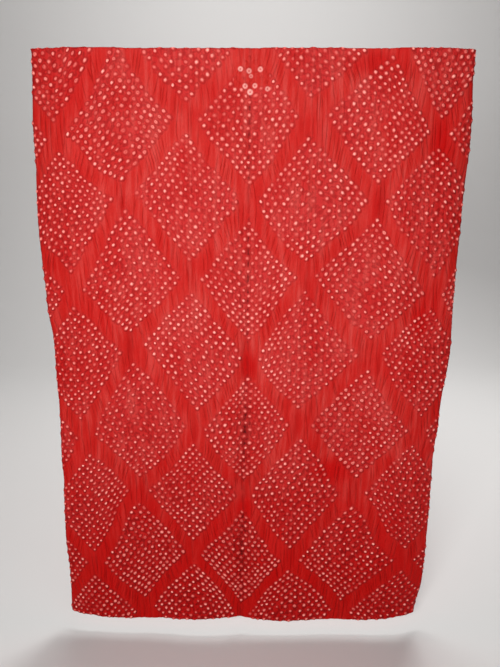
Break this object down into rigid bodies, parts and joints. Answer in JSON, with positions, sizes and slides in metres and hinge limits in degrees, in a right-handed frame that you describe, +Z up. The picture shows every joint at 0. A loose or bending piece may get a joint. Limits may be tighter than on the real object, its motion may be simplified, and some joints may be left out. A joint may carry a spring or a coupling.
{
  "type": "bandhani cloth",
  "caption": "Hanging red tie-dyed cloth with fields of small pale knotted dots set in diamonds, a crease down its middle and crinkled slack between the ties.",
  "frame": {"origin": "middle of the cloth's top edge, where it is held up", "axes": "+Z up along the hang, the dyed face towards -Y, +X to the viewer's right"},
  "size_m": [0.9267, 0.039, 1.3431],
  "materials": {
    "cloth": "matte, soft sheen, dyed red with pale dots"
  },
  "bodies": {
    "root": {"cloth": "cloth"}
  },
  "joints": []
}
